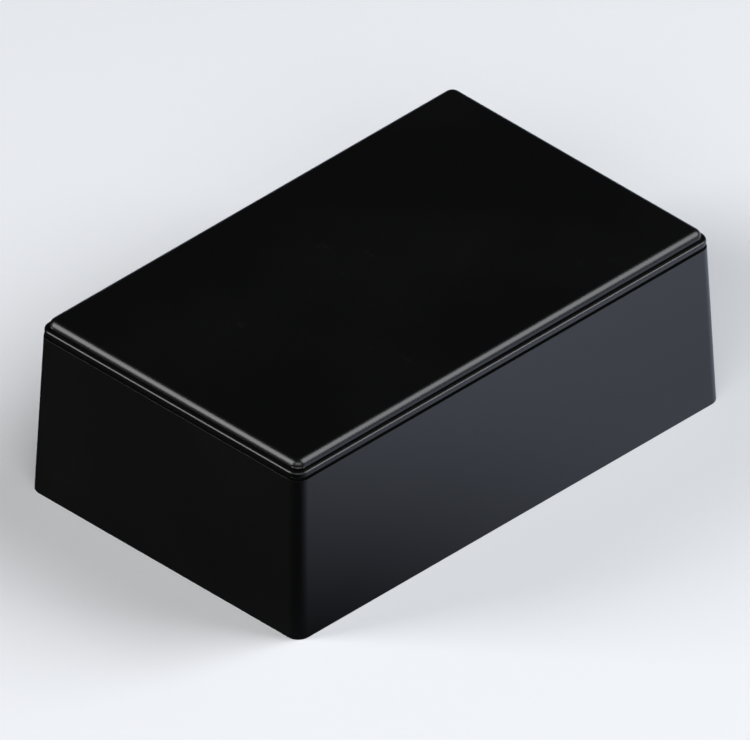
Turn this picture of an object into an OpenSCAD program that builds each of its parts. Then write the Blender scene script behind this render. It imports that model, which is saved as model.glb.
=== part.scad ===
// Plastic project box: a deep moulded base, a shouldered lid that drops onto its rim,
// and four self-tapping screws that come up through the corner posts into the lid's bosses.
// Millimetres, +Z up, origin at the centre of the underside, X along the longer side.

/* [Base] */
// Length of the base at its foot, along X
base_len = 110; // [90:1:150]
// Width of the base at its foot, along Y
base_wid = 70; // [60:1:100]
// Height of the plane that the lid seats on
seat_z = 35; // [32:0.5:50]
// Inward lean of the outer walls, in degrees
wall_draft = 2; // [0.5:0.25:3]
// Outward lean of the inner walls, which lets the core pull out
core_draft = 0.5; // [0.25:0.25:1]
// Radius of the upright corners
corner_r = 2.6; // [2:0.1:5]
// Thickness of the wall at the rim
wall_t = 2.2; // [1.8:0.1:3]
// Thickness of the floor
floor_t = 2.4; // [1.8:0.1:3.5]

/* [Seam] */
// Height of the shadow gap round the seam
seam_gap = 0.6; // [0.3:0.1:1]
// Depth of the shadow gap, measured into the wall
seam_depth = 0.8; // [0.4:0.1:1.1]

/* [Lid] */
// Set-back of the lid's flange from the line of the wall
flange_inset = 0.1; // [0:0.05:0.3]
// Height of the lid's flange
flange_h = 1.1; // [0.75:0.05:2.5]
// Radius of the flange's upper edge
flange_edge_r = 0.4; // [0.1:0.05:0.7]
// Height of the groove between the flange and the raised panel
neck_h = 0.3; // [0.2:0.05:1.5]
// How far the groove is cut in under the raised panel
neck_depth = 0.4; // [0.2:0.05:1]
// Height of the raised panel
panel_h = 1.6; // [1.55:0.05:3]
// Set-back of the raised panel's side from the flange's side
panel_inset = 0.85; // [0.8:0.05:3]
// Radius of the raised panel's upright corners
panel_corner_r = 1.9; // [1.6:0.1:6]
// Radius of the raised panel's upper edge
panel_edge_r = 1.5; // [0.5:0.05:1.5]
// Thickness of the lid's top
lid_t = 2.2; // [2:0.1:3]
// Depth of the tongue that drops inside the rim
tongue_h = 2.5; // [1.5:0.1:4]
// Thickness of the tongue
tongue_t = 1.4; // [1:0.1:2]
// Clearance between the tongue and the wall
tongue_gap = 0.15; // [0.1:0.05:0.3]

/* [Screws] */
// Radius of the screw thread
thread_r = 1.4; // [1.25:0.05:1.6]
// Length of the screw under its head
screw_len = 25; // [20:1:26]
// Radius of the screw head
head_r = 2.8; // [2.6:0.1:3]
// Height of the screw head
head_h = 2.2; // [1.8:0.1:2.6]
// Height of the shelf inside the post that the head bears on
shelf_z = 8.4; // [6.5:0.1:8.6]
// Radius of the clearance hole through the shelf
shelf_hole_r = 1.7; // [1.65:0.05:2]
// Gap between the head and the post round it
head_gap = 0.4; // [0.2:0.1:0.6]
// Wall of the post round the head
post_t = 1.3; // [1:0.1:1.8]
// Radius of the lid's screw bosses
boss_r = 3.1; // [2.9:0.1:3.6]
// Height of the posts' tops
post_top_z = 26; // [22:0.5:28]
// Gap between a post's top and the lid's boss
boss_gap = 0.3; // [0.1:0.1:0.8]
// Radial clearance of the thread in the lid's boss
thread_gap = 0.05; // [0.02:0.01:0.1]

/* [Circuit board fixings] */
// Spacing of the board pillars along X
pillar_dx = 76; // [50:1:76]
// Spacing of the board pillars along Y
pillar_dy = 40; // [30:1:40]
// Height of the board pillars above the floor
pillar_h = 5; // [3:0.5:10]
// Radius of the board pillars
pillar_r = 2.75; // [2.5:0.05:3.5]
// Radius of the pilot hole in each pillar
pillar_hole_r = 1.1; // [0.9:0.05:1.4]
// Depth of the pilot hole in each pillar
pillar_hole_depth = 4.5; // [2.5:0.5:6]
// Number of card guides on each long wall
guide_count = 4; // [2:1:5]
// Distance between neighbouring card guides
guide_pitch = 18; // [12:1:18]
// Width of the slot in each card guide
guide_slot = 1.9; // [1.7:0.1:2.6]
// Thickness of the ribs beside each slot
guide_rib_t = 1.2; // [0.8:0.1:1.6]
// How far the ribs stand out from the wall at the rim
guide_depth = 1.6; // [1:0.1:2.2]
// Height of the ribs' tops
guide_top_z = 30; // [20:1:30]

/* [Hidden] */
$fn = 64;
corner_steps = 10; // facets in each upright corner
edge_steps = 6; // facets in each rounded edge
base_colour = [0.06, 0.06, 0.07];
lid_colour = [0.08, 0.08, 0.09];
screw_colour = "silver";
over = 0.4; // how far a cut runs past the face it opens, or a form into its neighbour
chamfer = 0.4; // lead-in at the mouth of a thread hole

// Half sizes of the outer faces at the foot, at the ledge under the seam and at the seat
ledge_z = seat_z - seam_gap;
foot_half = [base_len, base_wid] / 2;
ledge_half = inset(foot_half, ledge_z * tan(wall_draft));
seat_half = inset(foot_half, seat_z * tan(wall_draft));
ridge_half = inset(seat_half, seam_depth);
// Half sizes of the cavity at the rim and at the floor
rim_half = inset(seat_half, wall_t);
floor_half = inset(rim_half, (seat_z - floor_t) * tan(core_draft));
rim_r = max(corner_r - wall_t, 0.5);

// The lid, from its seat upwards and then down inside the rim
neck_z = seat_z + flange_h;
panel_z = neck_z + neck_h;
top_z = panel_z + panel_h;
roof_z = top_z - lid_t;
flange_half = inset(seat_half, flange_inset);
panel_half = inset(flange_half, panel_inset);
neck_half = inset(panel_half, neck_depth);
tongue_half = inset(rim_half, tongue_gap + tongue_h * tan(core_draft));
hollow_half = inset(tongue_half, tongue_t);

// The posts are sunk a little into both walls of their corner
head_well_r = head_r + head_gap;
post_r = head_well_r + post_t;
post_at = inset(floor_half, post_r - over);
boss_z = post_top_z + boss_gap;
thread_hole_r = thread_r + thread_gap;
thread_hole_top_z = min(shelf_z + screw_len + 0.6, top_z - 1.2);
pillar_top_z = floor_t + pillar_h;

// The screw's head and point
crown_h = head_h * 0.55;
point_len = 2.2;
point_r = 0.35;
recess_w = 0.9;
recess_len = 3.2;
recess_depth = 1.3;

// A pair of half sizes, drawn in by the same distance along X and along Y
function inset(half, d) = half - [d, d];

// One closed outline with round corners, as points at height z
function ring(half, r, z) = [
    for (c = [0:3], k = [0:corner_steps])
        let (
            a = 90 * (c + k / corner_steps),
            sx = (c == 0 || c == 3) ? 1 : -1,
            sy = (c < 2) ? 1 : -1
        )
        [sx * (half[0] - r) + r * cos(a), sy * (half[1] - r) + r * sin(a), z]
];

// Rings that round an edge over from an upright side to the flat top at height z
function soft_edge(half, r, edge_r, z) = [
    for (k = [0:edge_steps])
        let (a = 90 * k / edge_steps, d = edge_r * (1 - cos(a)))
        ring(inset(half, d), r - d, z - edge_r + edge_r * sin(a))
];

// A solid through a stack of rings, from the lowest to the highest
module loft(rings) {
    n = len(rings[0]);
    last = len(rings) - 1;
    sides = [
        for (j = [0:last - 1], i = [0:n - 1])
            [j * n + i, (j + 1) * n + i, (j + 1) * n + (i + 1) % n, j * n + (i + 1) % n]
    ];
    underside = [for (i = [0:n - 1]) i];
    top = [for (i = [n - 1:-1:0]) last * n + i];
    polyhedron(points = [for (r = rings) each r], faces = concat([underside], sides, [top]));
}

// Its children once in each corner of the box, at the screws' centres
module at_corners() {
    for (sx = [-1, 1], sy = [-1, 1])
        translate([sx * post_at[0], sy * post_at[1], 0]) children();
}

// Its children once at each of the circuit board's pillars
module at_pillars() {
    for (sx = [-1, 1], sy = [-1, 1])
        translate([sx * pillar_dx, sy * pillar_dy, 0] / 2) children();
}

// Leaning walls up to the ledge, and the ridge on it that the lid seats on
module base_outside() {
    loft([
        ring(foot_half, corner_r, 0),
        ring(ledge_half, corner_r, ledge_z),
        ring(ridge_half, corner_r - seam_depth, ledge_z),
        ring(ridge_half, corner_r - seam_depth, seat_z)
    ]);
}

// The hollow of the base, a little wider at the rim than at the floor
module base_cavity() {
    loft([
        ring(floor_half, rim_r, floor_t),
        ring(inset(rim_half, -over * tan(core_draft)), rim_r, seat_z + over)
    ]);
}

// A pair of upright ribs on each long wall for every circuit card
module card_guides() {
    depth = guide_depth + over;
    height = guide_top_z - floor_t + over;
    for (side = [-1, 1], k = [0:guide_count - 1], edge = [-1, 1])
        translate([
            (k - (guide_count - 1) / 2) * guide_pitch + edge * (guide_slot + guide_rib_t) / 2,
            side * (rim_half[1] + over - depth / 2),
            guide_top_z - height / 2
        ])
            cube([guide_rib_t, depth, height], center = true);
}

// Space inside a post: the well for the screw's head, and the clearance hole above it
module screw_way() {
    translate([0, 0, -over]) cylinder(h = shelf_z + over, r = head_well_r);
    cylinder(h = post_top_z + over, r = shelf_hole_r);
}

// The moulded base: walls, floor, screw posts, board pillars and card guides
module base() {
    color(base_colour) difference() {
        union() {
            difference() {
                base_outside();
                base_cavity();
            }
            at_corners() cylinder(h = post_top_z, r = post_r);
            at_pillars() cylinder(h = pillar_top_z, r = pillar_r);
            card_guides();
        }
        at_corners() screw_way();
        at_pillars() translate([0, 0, pillar_top_z - pillar_hole_depth])
            cylinder(h = pillar_hole_depth + over, r = pillar_hole_r);
    }
}

// Outer form of the lid: rounded flange, groove, and raised panel with a rounded edge
module lid_outside() {
    flange_r = corner_r - flange_inset;
    neck_r = panel_corner_r - neck_depth;
    loft(concat(
        [ring(flange_half, flange_r, seat_z)],
        soft_edge(flange_half, flange_r, flange_edge_r, neck_z),
        [ring(neck_half, neck_r, neck_z), ring(neck_half, neck_r, panel_z),
            ring(panel_half, panel_corner_r, panel_z)],
        soft_edge(panel_half, panel_corner_r, panel_edge_r, top_z)
    ));
}

// The block that drops inside the rim, before it is hollowed into a tongue
module lid_tongue() {
    loft([
        ring(tongue_half, rim_r, seat_z - tongue_h),
        ring(tongue_half, rim_r, seat_z + over)
    ]);
}

// The hollow inside the tongue, up to the lid's roof
module lid_hollow() {
    loft([
        ring(hollow_half, rim_r, seat_z - tongue_h - over),
        ring(hollow_half, rim_r, roof_z)
    ]);
}

// Hole up into a boss for the screw's thread, with a lead-in at its mouth
module thread_hole() {
    translate([0, 0, boss_z - over])
        cylinder(h = thread_hole_top_z - boss_z + over, r = thread_hole_r);
    translate([0, 0, boss_z])
        cylinder(h = chamfer, r1 = thread_hole_r + chamfer, r2 = thread_hole_r);
}

// The moulded lid: flange, groove, raised panel, tongue and screw bosses
module lid() {
    color(lid_colour) difference() {
        union() {
            difference() {
                union() {
                    lid_outside();
                    lid_tongue();
                }
                lid_hollow();
            }
            at_corners() translate([0, 0, boss_z])
                cylinder(h = roof_z + over - boss_z, r = boss_r);
        }
        at_corners() thread_hole();
    }
}

// Half of the screw's outline, from the point down to the crown of its pan head
module screw_outline() {
    crown_z = crown_h - head_h;
    polygon(concat(
        [[0, screw_len], [point_r, screw_len], [thread_r, screw_len - point_len],
            [thread_r, 0], [head_r, 0]],
        [for (k = [0:edge_steps])
            let (a = 90 * k / edge_steps)
            [head_r - crown_h * (1 - cos(a)), crown_z - crown_h * sin(a)]],
        [[0, -head_h]]
    ));
}

// A pan-head self-tapping screw, point up, with its head's bearing face at height 0
module screw() {
    difference() {
        rotate_extrude() screw_outline();
        for (turn = [0, 90])
            rotate([0, 0, turn]) translate([0, 0, (recess_depth - over) / 2 - head_h])
                cube([recess_len, recess_w, recess_depth + over], center = true);
    }
}

// The screw in the corner on the given side of X and of Y
module screw_at(side_x, side_y) {
    color(screw_colour)
        translate([side_x * post_at[0], side_y * post_at[1], shelf_z]) screw();
}

base();
lid();
screw_at(-1, -1);  // screw_front_left
screw_at(1, -1);  // screw_front_right
screw_at(-1, 1);  // screw_back_left
screw_at(1, 1);  // screw_back_right
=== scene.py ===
"""Plastic project box: its moulded base and lid, its self-tapping screws, and a studio stage."""
import math

import bpy
import bmesh
from mathutils import Matrix, Vector


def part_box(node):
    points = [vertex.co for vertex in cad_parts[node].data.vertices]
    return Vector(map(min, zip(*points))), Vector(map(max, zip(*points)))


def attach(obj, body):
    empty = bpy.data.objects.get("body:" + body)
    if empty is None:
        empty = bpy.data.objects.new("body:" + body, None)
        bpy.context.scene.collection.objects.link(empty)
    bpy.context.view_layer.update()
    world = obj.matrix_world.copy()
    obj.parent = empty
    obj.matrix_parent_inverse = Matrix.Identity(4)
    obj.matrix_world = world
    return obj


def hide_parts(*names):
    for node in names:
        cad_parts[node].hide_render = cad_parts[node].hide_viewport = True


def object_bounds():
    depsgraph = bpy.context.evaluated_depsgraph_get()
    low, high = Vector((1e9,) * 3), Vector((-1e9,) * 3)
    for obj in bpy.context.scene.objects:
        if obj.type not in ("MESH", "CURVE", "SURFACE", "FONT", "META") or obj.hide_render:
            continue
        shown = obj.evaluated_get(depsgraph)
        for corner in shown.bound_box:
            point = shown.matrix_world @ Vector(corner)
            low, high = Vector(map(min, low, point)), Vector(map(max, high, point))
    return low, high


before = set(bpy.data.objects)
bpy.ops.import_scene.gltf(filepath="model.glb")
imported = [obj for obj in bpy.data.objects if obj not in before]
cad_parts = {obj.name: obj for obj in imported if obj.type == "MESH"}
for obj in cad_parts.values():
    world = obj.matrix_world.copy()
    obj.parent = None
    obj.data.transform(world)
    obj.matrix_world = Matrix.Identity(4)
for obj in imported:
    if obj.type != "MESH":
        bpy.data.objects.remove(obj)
CAD_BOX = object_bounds()

bl_info = {
    "name": "Plastic project box",
    "version": (1, 0, 0),
    "blender": (4, 5, 0),
    "location": "View3D > Sidebar > Project box",
    "description": "Builds a small screwed enclosure with moulded plastic and steel finishes",
    "category": "Object",
}

MM = 0.001
SCREWS = [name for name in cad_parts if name.startswith("screw_")]

# Segments round a screw, rings up its head's crown, and rings for each turn of its thread
AROUND = 32
CROWN_RINGS = 8
RINGS_PER_TURN = 8
# Length of a screw's tapered point, and how thin its tip is beside the shank
POINT = 2.2 * MM
TIP = 0.16
# Rounding at the underside of a screw's head
HEAD_LIP = 0.08 * MM
# Where the thread starts above the head, and the length over which it rises
THREAD_START = 1.0 * MM
THREAD_RISE = 0.8 * MM
# Half of the thread's width, as a share of its pitch
THREAD_HALF = 0.22
# Height and offsets of the camera's aim, its distance, and the height of its picture
AIM_UP = 13.42 * MM
AIM_LEFT = 0.055 * MM
CAMERA_AWAY = 1.5
PICTURE_SIZE = 137.64 * MM


class BoxSizes(bpy.types.PropertyGroup):
    """Sizes of the details on the moulded parts and on the screws"""

    edge_break: bpy.props.FloatProperty(
        name="Edge break", default=0.1 * MM, min=0.0, max=0.5 * MM, precision=5,
        unit="LENGTH", description="Width of the small rounding on the moulded edges")
    head_height: bpy.props.FloatProperty(
        name="Head height", default=2.2 * MM, min=1.8 * MM, max=2.6 * MM, precision=5,
        unit="LENGTH", description="Height of a screw's pan head")
    head_edge: bpy.props.FloatProperty(
        name="Head edge", default=1.2 * MM, min=0.6 * MM, max=1.5 * MM, precision=5,
        unit="LENGTH", description="Radius of the pan head's crown")
    thread_pitch: bpy.props.FloatProperty(
        name="Thread pitch", default=1.1 * MM, min=0.7 * MM, max=1.6 * MM, precision=5,
        unit="LENGTH", description="Distance from one turn of the thread to the next")
    thread_depth: bpy.props.FloatProperty(
        name="Thread depth", default=0.38 * MM, min=0.2 * MM, max=0.5 * MM, precision=5,
        unit="LENGTH", description="Height of the thread's crest above the screw's core")
    recess_width: bpy.props.FloatProperty(
        name="Recess width", default=0.75 * MM, min=0.5 * MM, max=1.1 * MM, precision=5,
        unit="LENGTH", description="Width of each arm of the cross recess")
    recess_reach: bpy.props.FloatProperty(
        name="Recess reach", default=1.65 * MM, min=1.0 * MM, max=2.2 * MM, precision=5,
        unit="LENGTH", description="Length of each arm of the cross recess at its mouth")
    recess_depth: bpy.props.FloatProperty(
        name="Recess depth", default=1.5 * MM, min=0.8 * MM, max=2.0 * MM, precision=5,
        unit="LENGTH", description="Depth of the cross recess")
    grain_size: bpy.props.FloatProperty(
        name="Grain size", default=0.28 * MM, min=0.1 * MM, max=1.0 * MM, precision=5,
        unit="LENGTH", description="Distance between the grains of the mould's fine texture")


class BoxFinishes(bpy.types.PropertyGroup):
    """Colours of the plastic, the steel and the stage"""

    plastic: bpy.props.FloatVectorProperty(
        name="Plastic", default=(0.001, 0.001, 0.0012), min=0.0, max=1.0,
        subtype="COLOR", description="Colour of the black moulded plastic")
    scuffed: bpy.props.FloatVectorProperty(
        name="Scuffed plastic", default=(0.0032, 0.0032, 0.0036), min=0.0, max=1.0,
        subtype="COLOR", description="Colour where handling has dulled the plastic")
    steel: bpy.props.FloatVectorProperty(
        name="Steel", default=(0.62, 0.61, 0.58), min=0.0, max=1.0,
        subtype="COLOR", description="Colour of the zinc-plated screws")
    stained_steel: bpy.props.FloatVectorProperty(
        name="Stained steel", default=(0.36, 0.34, 0.3), min=0.0, max=1.0,
        subtype="COLOR", description="Colour of the plating where it has dulled")
    floor: bpy.props.FloatVectorProperty(
        name="Floor", default=(0.78, 0.79, 0.81), min=0.0, max=1.0,
        subtype="COLOR", description="Colour of the floor")


# Shader nodes written as expressions

class Wire:
    """An output socket that Python's own operators join to new Math nodes"""

    def __init__(self, finish, socket):
        self.finish, self.socket = finish, socket

    def _math(self, operation, first, second):
        return self.finish.add(
            "ShaderNodeMath", {"operation": operation}, {0: first, 1: second})

    def __add__(self, other):
        return self._math("ADD", self, other)

    __radd__ = __add__

    def __sub__(self, other):
        return self._math("SUBTRACT", self, other)

    def __rsub__(self, other):
        return self._math("SUBTRACT", other, self)

    def __mul__(self, other):
        return self._math("MULTIPLY", self, other)

    __rmul__ = __mul__


class Finish:
    """A material under construction, whose nodes all come from add()"""

    def __init__(self, name, **constants):
        self.material = bpy.data.materials.new(name)
        self.material.use_nodes = True
        self.tree = self.material.node_tree
        self.shader = self.tree.nodes["Principled BSDF"]
        for socket, value in constants.items():
            self.shader.inputs[socket.replace("_", " ")].default_value = value

    def add(self, kind, settings=None, inputs=None, output=0):
        """Adds one node, sets it up, fills its sockets and returns one of its outputs"""
        node = self.tree.nodes.new(kind)
        for key, value in (settings or {}).items():
            setattr(node, key, value)
        for key, value in (inputs or {}).items():
            self.feed(node.inputs[key], value)
        return Wire(self, node.outputs[output])

    def feed(self, socket, value):
        """Links a wire to a socket, or sets the socket to a plain value"""
        if isinstance(value, Wire):
            self.tree.links.new(value.socket, socket)
        else:
            socket.default_value = value

    def place(self):
        """The surface's own place in the object's frame, in metres"""
        return self.add("ShaderNodeTexCoord", output="Object")

    def noise(self, place, size, detail=2.0, roughness=0.5):
        """Cloudy noise from 0 to 1, whose lumps are about size apart"""
        return self.add("ShaderNodeTexNoise", None, {
            "Vector": place, "Scale": 1.0 / size, "Detail": detail, "Roughness": roughness})

    def band(self, value, low, high):
        """Maps low..high to 0..1, smoothly and with both ends held"""
        return self.add("ShaderNodeMapRange", {"interpolation_type": "SMOOTHSTEP"}, {
            "Value": value, "From Min": low, "From Max": high})

    def blend(self, mask, first, second):
        """Mixes two colours by a mask"""
        return self.add("ShaderNodeMix", {"data_type": "RGBA"}, {
            "Factor": mask, 6: self.opaque(first), 7: self.opaque(second)}, output=2)

    def opaque(self, colour):
        """A colour with its alpha, unless it is already a wire"""
        return colour if isinstance(colour, Wire) else (*colour, 1.0)

    def bump(self, height, strength, distance):
        """A normal that makes the surface look raised where height is large"""
        return self.add("ShaderNodeBump", None, {
            "Height": height, "Strength": strength, "Distance": distance})


def moulded_plastic(name, seed):
    """Black ABS from a lightly spark-textured mould, with faint handling marks"""
    sizes, colours = bpy.context.scene.box_sizes, bpy.context.scene.box_finishes
    finish = Finish(name, IOR=1.5, Specular_IOR_Level=0.5)
    place = finish.add("ShaderNodeVectorMath", {"operation": "ADD"}, {
        0: finish.place(), 1: (seed, 2.0 * seed, 0.0)})
    grain = finish.noise(place, sizes.grain_size, detail=3.0, roughness=0.6)
    clouds = finish.noise(place, 38 * MM, detail=3.0)
    stretched = finish.add("ShaderNodeVectorMath", {"operation": "MULTIPLY"}, {
        0: place, 1: (1.0, 0.22, 0.6)})
    rubs = finish.band(finish.noise(stretched, 1.6 * MM, detail=4.0), 0.63, 0.75)
    dulled = finish.band(clouds, 0.42, 0.72) * (0.25 + 0.75 * rubs)
    finish.feed(finish.shader.inputs["Base Color"],
                finish.blend(dulled, colours.plastic, colours.scuffed))
    finish.feed(finish.shader.inputs["Roughness"],
                0.31 + 0.04 * clouds + 0.05 * dulled + 0.02 * grain)
    finish.feed(finish.shader.inputs["Normal"], finish.bump(grain, 0.35, 0.02 * MM))
    return finish.material


def plated_steel(name):
    """Zinc-plated steel with a faint stain and fine turning marks"""
    colours = bpy.context.scene.box_finishes
    finish = Finish(name, Metallic=1.0)
    place = finish.place()
    stain = finish.band(finish.noise(place, 1.8 * MM, detail=4.0), 0.45, 0.75)
    fine = finish.noise(place, 0.12 * MM, detail=2.0)
    finish.feed(finish.shader.inputs["Base Color"],
                finish.blend(stain, colours.steel, colours.stained_steel))
    finish.feed(finish.shader.inputs["Roughness"], 0.24 + 0.18 * stain + 0.08 * fine)
    finish.feed(finish.shader.inputs["Normal"], finish.bump(fine, 0.15, 0.01 * MM))
    return finish.material


# Pieces

def add_piece(name, mesh, body, node, material):
    """Puts a mesh in the scene as the piece that stands for a node of the frame"""
    piece = bpy.data.objects.new(name, mesh)
    bpy.context.scene.collection.objects.link(piece)
    mesh.materials.clear()
    mesh.materials.append(material)
    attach(piece, body)
    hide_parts(node)
    return piece


def apply_modifiers(piece):
    """Turns what a piece's modifiers make into its own mesh"""
    graph = bpy.context.evaluated_depsgraph_get()
    made = bpy.data.meshes.new_from_object(piece.evaluated_get(graph), depsgraph=graph)
    if not made.vertices:
        raise RuntimeError(piece.name + " came out empty")
    piece.modifiers.clear()
    piece.data = made


def moulding(node, body, material):
    """Copies a node's solid, breaks its moulded edges and smooths its rounded ones"""
    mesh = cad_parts[node].data.copy()
    mesh.name = node + "_moulding"
    work = bmesh.new()
    work.from_mesh(mesh)
    bmesh.ops.remove_doubles(work, verts=work.verts, dist=0.001 * MM)
    bmesh.ops.dissolve_limit(
        work, angle_limit=math.radians(0.4), verts=work.verts, edges=work.edges)
    work.to_mesh(mesh)
    work.free()
    piece = add_piece(node + "_moulding", mesh, body, node, material)
    bevel = piece.modifiers.new("edge_break", "BEVEL")
    bevel.width = bpy.context.scene.box_sizes.edge_break
    bevel.segments = 2
    bevel.limit_method = "ANGLE"
    bevel.angle_limit = math.radians(40)
    apply_modifiers(piece)
    piece.data.shade_smooth()
    piece.data.set_sharp_from_angle(angle=math.radians(32))
    weighted = piece.modifiers.new("even_faces", "WEIGHTED_NORMAL")
    weighted.keep_sharp = True
    apply_modifiers(piece)
    return piece


def cross_recess(sizes, foot_z):
    """A tapered cross, the tool that sinks a screw's driving recess"""
    work = bmesh.new()
    for turn in (0, 90):
        made = bmesh.ops.create_cube(work, size=1.0)["verts"]
        for v in made:
            reach = sizes.recess_reach if v.co.z < 0 else 0.35 * sizes.recess_reach
            half = sizes.recess_width / 2 * (1.0 if v.co.z < 0 else 0.7)
            x, y = math.copysign(reach, v.co.x), math.copysign(half, v.co.y)
            z = foot_z + (sizes.recess_depth if v.co.z > 0 else -0.3 * MM)
            v.co = (x, y, z) if turn == 0 else (-y, x, z)
    mesh = bpy.data.meshes.new("cross_recess")
    work.to_mesh(mesh)
    work.free()
    cutter = bpy.data.objects.new("cross_recess", mesh)
    bpy.context.scene.collection.objects.link(cutter)
    return cutter


def screw_mesh(name, sizes, head_radius, shank_radius, length):
    """A pan head with its washer face at height 0, and a threaded shank above it"""
    rows = []
    crown = sizes.head_edge
    for k in range(CROWN_RINGS + 1):
        a = math.radians(90 * (1 - k / CROWN_RINGS))
        z = -sizes.head_height + crown * (1 - math.sin(a))
        rows.append([(head_radius - crown * (1 - math.cos(a)), z)] * AROUND)
    rows.append([(head_radius, -HEAD_LIP)] * AROUND)
    rows.append([(head_radius - HEAD_LIP, 0.0)] * AROUND)
    core = shank_radius - sizes.thread_depth
    steps = int(length / sizes.thread_pitch * RINGS_PER_TURN)
    for k in range(steps + 1):
        z = length * k / steps
        taper = TIP + (1.0 - TIP) * min(1.0, (length - z) / POINT)
        rise = min(1.0, max(0.0, (z - THREAD_START) / THREAD_RISE))
        row = []
        for i in range(AROUND):
            phase = (z / sizes.thread_pitch - i / AROUND) % 1.0
            crest = max(0.0, 1.0 - abs(phase - 0.5) / THREAD_HALF)
            row.append(((core + sizes.thread_depth * crest * rise) * taper, z))
        rows.append(row)
    work = bmesh.new()
    rings = []
    for row in rows:
        ring = []
        for i, (radius, z) in enumerate(row):
            a = 2 * math.pi * i / AROUND
            ring.append(work.verts.new((radius * math.cos(a), radius * math.sin(a), z)))
        rings.append(ring)
    for lower, upper in zip(rings, rings[1:]):
        for i in range(AROUND):
            j = (i + 1) % AROUND
            work.faces.new((lower[i], lower[j], upper[j], upper[i]))
    work.faces.new(list(reversed(rings[0])))
    work.faces.new(rings[-1])
    mesh = bpy.data.meshes.new(name)
    work.to_mesh(mesh)
    work.free()
    return mesh


class BOX_OT_base(bpy.types.Operator):
    """Makes the moulded base"""

    bl_idname = "project_box.base"
    bl_label = "Base"

    def execute(self, context):
        moulding("base", "base", moulded_plastic("base_plastic", 0.0))
        return {"FINISHED"}


class BOX_OT_lid(bpy.types.Operator):
    """Makes the shouldered lid"""

    bl_idname = "project_box.lid"
    bl_label = "Lid"

    def execute(self, context):
        moulding("lid", "lid", moulded_plastic("lid_plastic", 0.37))
        return {"FINISHED"}


class BOX_OT_screws(bpy.types.Operator):
    """Makes the four self-tapping screws"""

    bl_idname = "project_box.screws"
    bl_label = "Screws"

    def execute(self, context):
        sizes = context.scene.box_sizes
        steel = plated_steel("screw_steel")
        for node in SCREWS:
            low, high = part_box(node)
            centre = (low + high) / 2
            head_radius = (high.x - low.x) / 2
            length = high.z - low.z - sizes.head_height
            mesh = screw_mesh(node + "_threaded", sizes, head_radius, head_radius / 2, length)
            piece = add_piece(node + "_threaded", mesh, node, node, steel)
            cutter = cross_recess(sizes, -sizes.head_height)
            cut = piece.modifiers.new("recess", "BOOLEAN")
            cut.operation, cut.solver, cut.object = "DIFFERENCE", "EXACT", cutter
            # The tool's two arms cross, which the cut has to allow for
            cut.use_self = True
            apply_modifiers(piece)
            bpy.data.objects.remove(cutter)
            piece.data.transform(Matrix.Translation((centre.x, centre.y, high.z - length)))
            piece.data.shade_smooth()
            piece.data.set_sharp_from_angle(angle=math.radians(35))
        return {"FINISHED"}


def softbox(name, place, target, size, power, tint=(1.0, 1.0, 1.0)):
    """A rectangular area light at one place, turned towards another"""
    light = bpy.data.lights.new(name, "AREA")
    light.shape, light.size, light.size_y = "RECTANGLE", size[0], size[1]
    light.energy, light.color = power, tint
    lamp = bpy.data.objects.new(name, light)
    lamp.location = place
    lamp.rotation_euler = (Vector(target) - Vector(place)).to_track_quat("-Z", "Y").to_euler()
    bpy.context.scene.collection.objects.link(lamp)


def studio_floor(low, high):
    """A pale floor that is clear from below, with a painted colour for reflections: black to the
    box's left, pale blue to its right
    """
    finish = Finish("floor", Roughness=0.9, Specular_IOR_Level=0.1)
    glossy = finish.add("ShaderNodeLightPath", output="Is Glossy Ray")
    along = finish.add("ShaderNodeVectorMath", {"operation": "DOT_PRODUCT"}, {
        0: finish.place(), 1: (0.8, -0.2, 0.0)}, output="Value")
    # Reflections see a painted colour, not the floor's own: black towards the box's left, which
    # paints shade into its left wall, and pale blue towards its right, which paints a brighter
    # reflection into its right wall
    painted_shade_mask = 1 - finish.band(along, low.x * 0.9, high.x * 0.9)
    painted_reflection_colour = finish.blend(painted_shade_mask, (0.76, 0.83, 1.0), (0.0, 0.0, 0.0))
    finish.feed(finish.shader.inputs["Base Color"],
                finish.blend(glossy, bpy.context.scene.box_finishes.floor, painted_reflection_colour))
    from_below = finish.add("ShaderNodeNewGeometry", output="Backfacing")
    clear = finish.add("ShaderNodeBsdfTransparent")
    shown = finish.add("ShaderNodeMixShader", None, {
        0: from_below, 1: Wire(finish, finish.shader.outputs[0]), 2: clear})
    finish.feed(finish.tree.nodes["Material Output"].inputs["Surface"], shown)
    return finish.material


def corner_camera(scene):
    """A camera with parallel rays that looks down on the box's front left corner"""
    lens = bpy.data.cameras.new("camera")
    lens.type = "ORTHO"
    lens.ortho_scale = PICTURE_SIZE
    lens.clip_start = 0.01
    lens.clip_end = 20.0
    azimuth = math.radians(-45)
    elevation = math.asin(1 / math.sqrt(3))
    back = Vector((math.sin(azimuth) * math.cos(elevation),
                   -math.cos(azimuth) * math.cos(elevation), math.sin(elevation)))
    right = Vector((math.cos(azimuth), math.sin(azimuth), 0.0))
    up = back.cross(right)
    camera = bpy.data.objects.new("camera", lens)
    camera.location = up * AIM_UP - right * AIM_LEFT + back * CAMERA_AWAY
    camera.rotation_euler = (-back).to_track_quat("-Z", "Y").to_euler()
    scene.collection.objects.link(camera)
    scene.camera = camera


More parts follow.
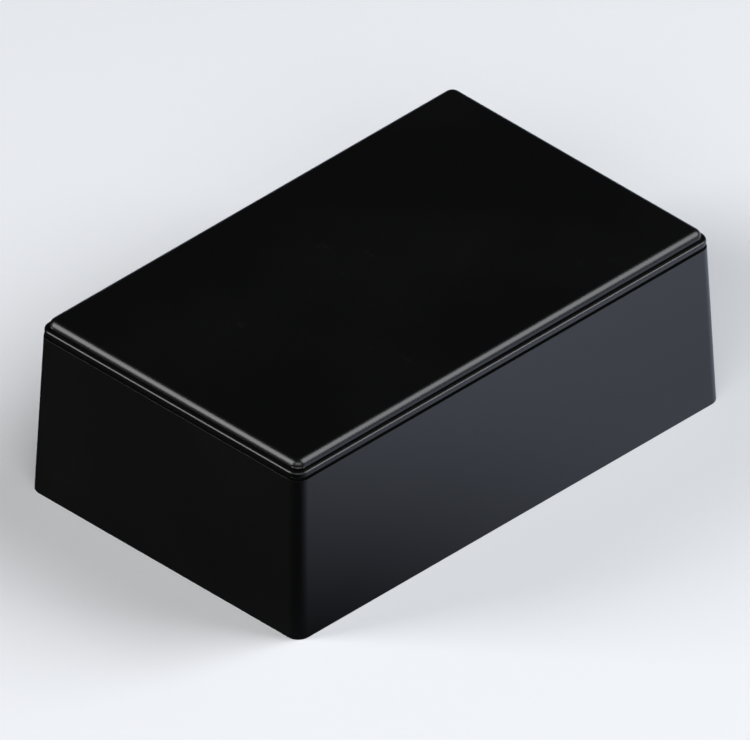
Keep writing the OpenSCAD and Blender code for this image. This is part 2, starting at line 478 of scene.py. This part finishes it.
class BOX_OT_stage(bpy.types.Operator):
    """Makes the floor, the lights and the camera"""

    bl_idname = "project_box.stage"
    bl_label = "Stage"

    def execute(self, context):
        scene = context.scene
        scene.view_settings.view_transform = "Standard"
        low, high = CAD_BOX
        middle = (low + high) / 2
        work = bmesh.new()
        bmesh.ops.create_grid(work, x_segments=1, y_segments=1, size=3.0)
        mesh = bpy.data.meshes.new("floor")
        work.to_mesh(mesh)
        work.free()
        floor = bpy.data.objects.new("floor", mesh)
        floor.location.z = low.z - 0.02 * MM
        scene.collection.objects.link(floor)
        mesh.materials.append(studio_floor(low, high))

        world = bpy.data.worlds.new("studio")
        world.use_nodes = True
        world.node_tree.nodes["Background"].inputs["Color"].default_value = (0.9, 0.94, 1, 1)
        world.node_tree.nodes["Background"].inputs["Strength"].default_value = 0.01
        scene.world = world
        softbox("front", (-0.85, -0.75, 0.85), middle, (1.5, 0.5), 10.5)
        softbox("left_back", (-0.98, 0.72, 0.5), middle, (0.6, 1.0), 14)
        softbox("right_front", (0.85, -0.72, 0.95), middle, (1.1, 1.1), 22, (0.95, 0.97, 1.0))

        corner_camera(scene)
        return {"FINISHED"}


OPERATORS = (BOX_OT_base, BOX_OT_lid, BOX_OT_screws, BOX_OT_stage)


class BOX_PT_sidebar(bpy.types.Panel):
    """Lists the box's pieces, sizes and finishes"""

    bl_idname = "BOX_PT_sidebar"
    bl_label = "Project box"
    bl_space_type = "VIEW_3D"
    bl_region_type = "UI"
    bl_category = "Project box"

    def draw(self, context):
        for operator in OPERATORS:
            self.layout.operator(operator.bl_idname)
        for group in (context.scene.box_sizes, context.scene.box_finishes):
            column = self.layout.column()
            for key in group.__annotations__:
                column.prop(group, key)


CLASSES = (BoxSizes, BoxFinishes, *OPERATORS, BOX_PT_sidebar)


def register():
    for cls in CLASSES:
        bpy.utils.register_class(cls)
    bpy.types.Scene.box_sizes = bpy.props.PointerProperty(type=BoxSizes)
    bpy.types.Scene.box_finishes = bpy.props.PointerProperty(type=BoxFinishes)


def unregister():
    del bpy.types.Scene.box_finishes
    del bpy.types.Scene.box_sizes
    for cls in reversed(CLASSES):
        bpy.utils.unregister_class(cls)


def main():
    register()
    bpy.ops.project_box.base()
    bpy.ops.project_box.lid()
    bpy.ops.project_box.screws()
    bpy.ops.project_box.stage()


if __name__ == "__main__":
    main()
